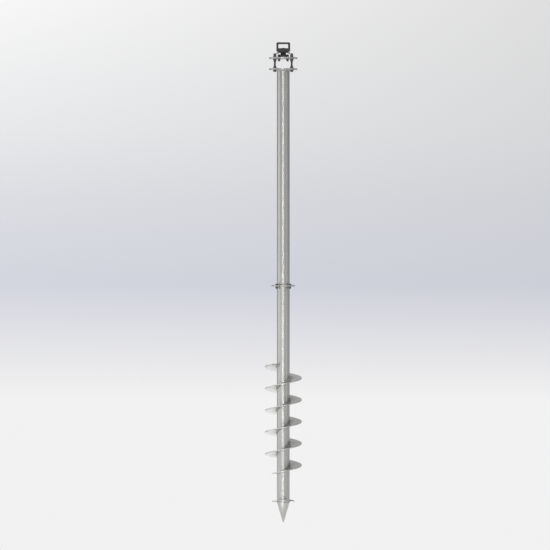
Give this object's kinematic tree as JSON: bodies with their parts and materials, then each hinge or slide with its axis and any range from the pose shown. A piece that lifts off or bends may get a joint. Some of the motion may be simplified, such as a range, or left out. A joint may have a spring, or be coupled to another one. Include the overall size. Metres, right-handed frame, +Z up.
{
  "type": "foundation ground screw",
  "caption": "Helical steel ground screw with a flanged extension post and a levelling head whose saddle carries a beam cradle.",
  "frame": {"origin": "tip of the drive point, on the shaft's axis", "axes": "+Z up the shaft's axis, +Y along the beam that the cradle holds"},
  "size_m": [0.22, 0.22, 2.861],
  "materials": {
    "galvanised_steel": "hot-dip galvanised",
    "fastener_steel": "dull plated",
    "black_casting": "black coated casting"
  },
  "bodies": {
    "root": {"drive_point": "galvanised_steel", "shaft_tube": "galvanised_steel", "flight_turn_1": "galvanised_steel", "flight_turn_2": "galvanised_steel", "flight_turn_3": "galvanised_steel", "flight_turn_4": "galvanised_steel", "flight_turn_5": "galvanised_steel", "starter_blade_right": "galvanised_steel", "starter_blade_left": "galvanised_steel", "shaft_flange": "galvanised_steel", "post_foot_flange": "galvanised_steel", "post_tube": "galvanised_steel", "post_head_flange": "galvanised_steel", "head_plate": "galvanised_steel", "coupling_bolts": "fastener_steel", "coupling_nuts": "fastener_steel", "coupling_upper_washers": "fastener_steel", "coupling_lower_washers": "fastener_steel", "levelling_bolts": "fastener_steel", "levelling_bolt_washers": "fastener_steel", "post_clamp_nuts": "fastener_steel", "post_clamp_washers": "fastener_steel", "levelling_nuts": "fastener_steel", "levelling_washers": "fastener_steel", "plate_clamp_nuts": "fastener_steel", "plate_clamp_washers": "fastener_steel", "lock_nuts": "fastener_steel", "pedestal_bolts": "fastener_steel", "pedestal_nuts": "fastener_steel", "pedestal_washers": "fastener_steel", "cradle_bolt": "fastener_steel", "saddle_pedestal": "black_casting", "beam_cradle": "black_casting"}
  },
  "joints": []
}
